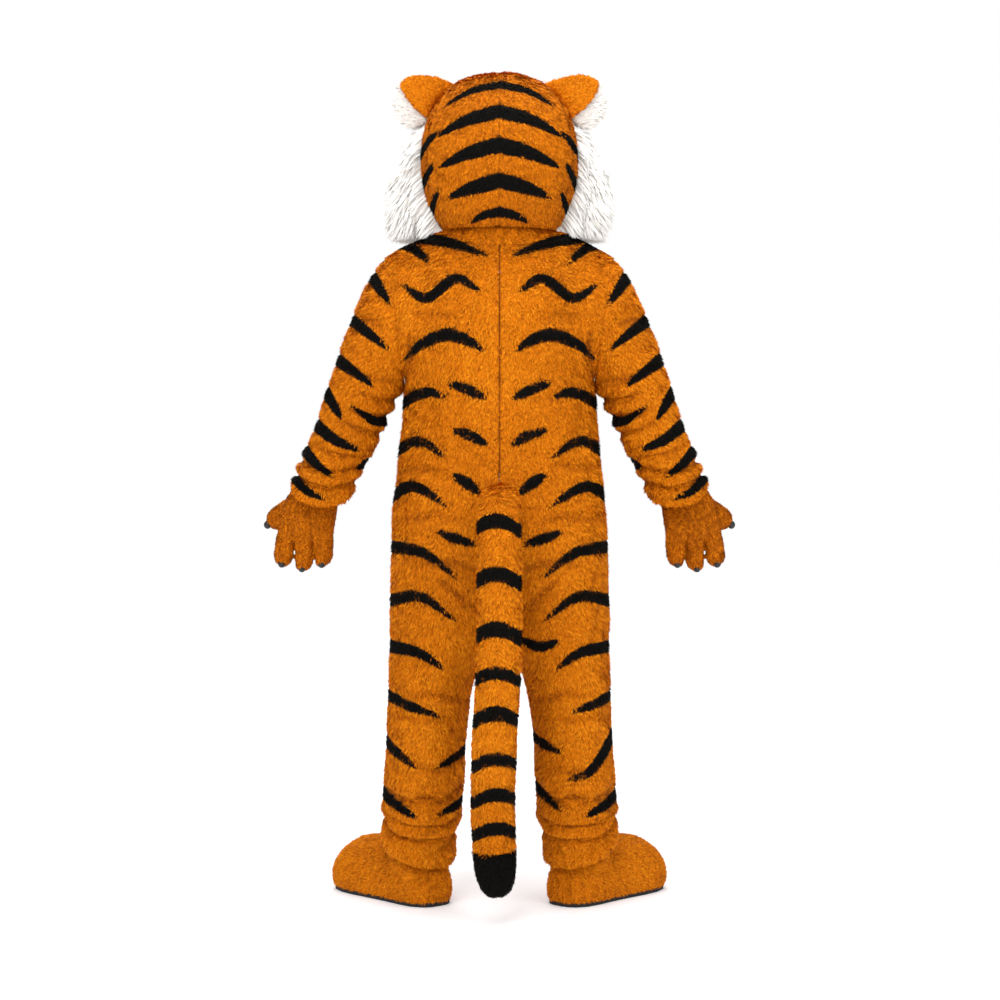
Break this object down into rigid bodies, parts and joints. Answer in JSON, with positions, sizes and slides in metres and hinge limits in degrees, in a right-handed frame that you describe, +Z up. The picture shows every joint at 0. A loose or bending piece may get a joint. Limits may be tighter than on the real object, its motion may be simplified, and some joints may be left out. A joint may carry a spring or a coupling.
{
  "type": "tiger mascot costume",
  "caption": "Full-body plush tiger costume with head, jumpsuit, tail, gloves and overshoes, filled out as worn, standing with arms held a little out.",
  "frame": {"origin": "middle of the neck seam, at the height of the shoulders, 1.458 m above the soles", "axes": "+Z up, the costume faces -Y, the wearer's left is +X"},
  "size_m": [1.0574, 0.5398, 1.8302],
  "materials": {
    "orange_plush": "short-pile orange plush with black stripes",
    "black_plush": "short-pile black plush",
    "white_fur": "long-pile white fur",
    "black_plastic": "glossy moulded black plastic",
    "sole_rubber": "matt black sole",
    "zip_tape": "woven tape of a concealed zip"
  },
  "bodies": {
    "root": {"back_zip": "zip_tape", "body_back_left": "orange_plush", "body_back_right": "orange_plush", "body_front_left": "orange_plush", "body_front_right": "orange_plush", "cheek_fur_left": "white_fur", "cheek_fur_right": "white_fur", "chin": "white_fur", "claw_left_1": "black_plastic", "claw_left_2": "black_plastic", "claw_left_3": "black_plastic", "claw_left_4": "black_plastic", "claw_right_1": "black_plastic", "claw_right_2": "black_plastic", "claw_right_3": "black_plastic", "claw_right_4": "black_plastic", "collar": "orange_plush", "ear_back_left": "orange_plush", "ear_back_right": "orange_plush", "ear_front_left": "white_fur", "ear_front_right": "white_fur", "eye_left": "black_plastic", "eye_right": "black_plastic", "foot_sole_left": "sole_rubber", "foot_sole_right": "sole_rubber", "foot_upper_left": "orange_plush", "foot_upper_right": "orange_plush", "glove_left": "orange_plush", "glove_right": "orange_plush", "head_crown_left": "orange_plush", "head_crown_right": "orange_plush", "head_face": "orange_plush", "head_side_left": "orange_plush", "head_side_right": "orange_plush", "muzzle": "white_fur", "nose": "black_plastic", "sleeve_left": "orange_plush", "sleeve_right": "orange_plush", "tail_body": "orange_plush", "tail_tip": "black_plush"}
  },
  "joints": []
}
